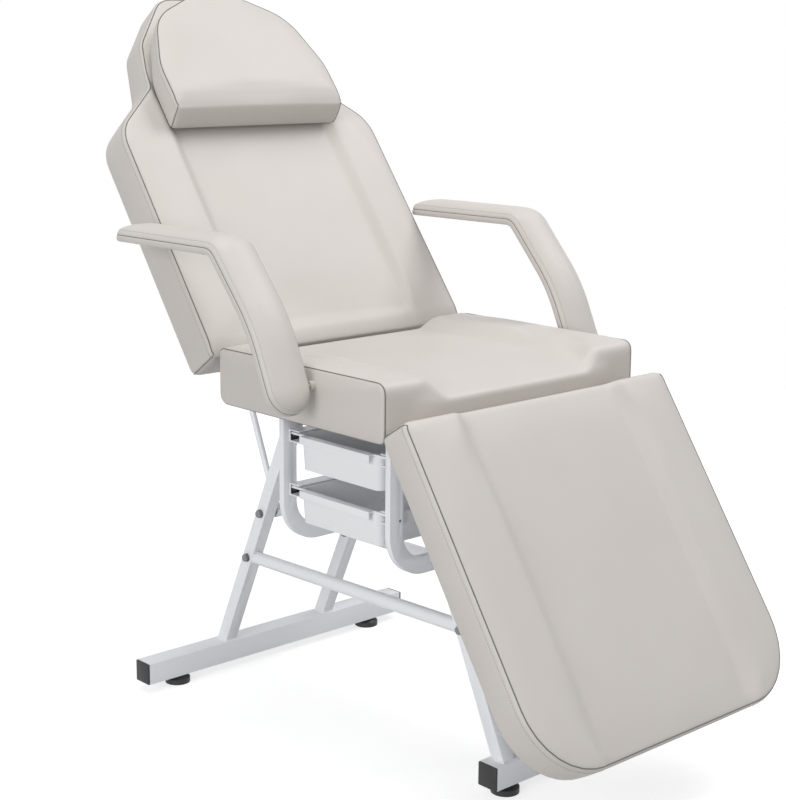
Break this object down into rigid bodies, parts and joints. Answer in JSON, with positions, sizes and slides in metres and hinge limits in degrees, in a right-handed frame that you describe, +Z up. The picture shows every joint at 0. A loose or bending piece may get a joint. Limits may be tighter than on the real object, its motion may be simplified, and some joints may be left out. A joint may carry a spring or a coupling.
{
  "type": "tattoo chair",
  "caption": "Padded tattoo chair on a steel trestle, with a tilting backrest and leg rest, swinging armrests, a sliding headrest and pull-out trays.",
  "frame": {"origin": "centre of the bounding box's bottom face, on the floor", "axes": "+Z up, the sitter faces -Y, the sitter's right is -X"},
  "size_m": [0.794, 1.3078, 1.2926],
  "materials": {
    "upholstery": "satin",
    "board": "matte",
    "white_steel": "gloss",
    "tray_plastic": "satin",
    "black_plastic": "satin",
    "bolt_steel": "satin"
  },
  "bodies": {
    "trestle": {"arm_pivot_shafts": "bolt_steel", "back_hinge_plate_left": "white_steel", "back_hinge_plate_right": "white_steel", "floor_bar_end_caps": "black_plastic", "frame_nuts": "bolt_steel", "front_floor_bar": "white_steel", "front_leg_left": "white_steel", "front_leg_right": "white_steel", "hinge_pins": "bolt_steel", "leg_hinge_bracket_left": "white_steel", "leg_hinge_bracket_right": "white_steel", "rear_floor_bar": "white_steel", "rear_leg_left": "white_steel", "rear_leg_right": "white_steel", "seat_board": "board", "seat_cross_front": "white_steel", "seat_cross_rear": "white_steel", "seat_cushion": "upholstery", "seat_rail_left": "white_steel", "seat_rail_right": "white_steel", "stay_bolt": "bolt_steel", "stretcher_bolts": "bolt_steel", "stretcher_left": "white_steel", "stretcher_right": "white_steel", "tray_bracket_front": "white_steel", "tray_bracket_rear": "white_steel", "tray_rail_lower_front": "white_steel", "tray_rail_lower_rear": "white_steel", "tray_rail_screws": "bolt_steel", "tray_rail_upper_front": "white_steel", "tray_rail_upper_rear": "white_steel"},
    "backrest": {"back_board": "board", "back_cushion": "upholstery", "back_cross_lower": "white_steel", "back_cross_upper": "white_steel", "back_tube_left": "white_steel", "back_tube_right": "white_steel", "back_hinge_arm_left": "white_steel", "back_hinge_arm_right": "white_steel", "stay_lug": "white_steel"},
    "headrest": {"headrest_pillow": "upholstery"},
    "leg_rest": {"leg_rest_board": "board", "leg_rest_cushion": "upholstery", "leg_rest_cross": "white_steel", "leg_rest_tube_left": "white_steel", "leg_rest_tube_right": "white_steel", "leg_hinge_arm_left": "white_steel", "leg_hinge_arm_right": "white_steel"},
    "armrest_left": {"armrest_core_left": "board", "armrest_pad_left": "upholstery"},
    "armrest_right": {"armrest_core_right": "board", "armrest_pad_right": "upholstery"},
    "stay_lower": {"stay_rod": "white_steel"},
    "stay_upper": {"stay_tube": "white_steel"},
    "upper_tray": {"tray_upper": "tray_plastic"},
    "lower_tray": {"tray_lower": "tray_plastic"},
    "foot_rear_left": {"rear_foot_left": "black_plastic"},
    "foot_rear_right": {"rear_foot_right": "black_plastic"},
    "foot_front_left": {"front_foot_left": "black_plastic"},
    "foot_front_right": {"front_foot_right": "black_plastic"}
  },
  "joints": [
    {"name": "backrest_tilt", "type": "hinge", "parent": "trestle", "child": "backrest", "pos_m": [0, 0.16257, 0.652], "axis": [1, 0, 0], "range_deg": [-54, 0]},
    {"name": "headrest_slide", "type": "slide", "parent": "backrest", "child": "headrest", "axis": [0, 0.5878, 0.809], "range_m": [-0.04, 0.02]},
    {"name": "leg_rest_tilt", "type": "hinge", "parent": "trestle", "child": "leg_rest", "pos_m": [0, -0.28243, 0.622], "axis": [-1, 0, 0], "range_deg": [0, 57]},
    {"name": "armrest_left_swing", "type": "hinge", "parent": "trestle", "child": "armrest_left", "pos_m": [0.354, -0.12343, 0.659], "axis": [1, 0, 0], "range_deg": [-80, 0]},
    {"name": "armrest_right_swing", "type": "hinge", "parent": "trestle", "child": "armrest_right", "pos_m": [-0.354, -0.12343, 0.659], "axis": [1, 0, 0], "range_deg": [-80, 0]},
    {"name": "stay_swing", "type": "hinge", "parent": "trestle", "child": "stay_lower", "pos_m": [-0.097, 0.22337, 0.339], "axis": [1, 0, 0], "range_deg": [-33.65, 0.2]},
    {"name": "stay_stroke", "type": "slide", "parent": "stay_lower", "child": "stay_upper", "axis": [0, 0.3757, 0.9267], "range_m": [-0.22518, 0.0005]},
    {"name": "upper_tray_slide", "type": "slide", "parent": "trestle", "child": "upper_tray", "axis": [-1, 0, 0], "range_m": [0, 0.24]},
    {"name": "lower_tray_slide", "type": "slide", "parent": "trestle", "child": "lower_tray", "axis": [-1, 0, 0], "range_m": [0, 0.24]},
    {"name": "foot_rear_left_turn", "type": "hinge", "parent": "trestle", "child": "foot_rear_left", "pos_m": [0.243, 0.34857, 0.01], "axis": [0, 0, 1], "continuous": true},
    {"name": "foot_rear_right_turn", "type": "hinge", "parent": "trestle", "child": "foot_rear_right", "pos_m": [-0.243, 0.34857, 0.01], "axis": [0, 0, 1], "continuous": true},
    {"name": "foot_front_left_turn", "type": "hinge", "parent": "trestle", "child": "foot_front_left", "pos_m": [0.118, -0.39043, 0.01], "axis": [0, 0, 1], "continuous": true},
    {"name": "foot_front_right_turn", "type": "hinge", "parent": "trestle", "child": "foot_front_right", "pos_m": [-0.118, -0.39043, 0.01], "axis": [0, 0, 1], "continuous": true}
  ],
  "couplings": [
    {"joint": "stay_swing", "follows": "backrest_tilt", "ratio": 0.61936},
    {"joint": "stay_stroke", "follows": "backrest_tilt", "m_per_rad": 0.23839}
  ]
}
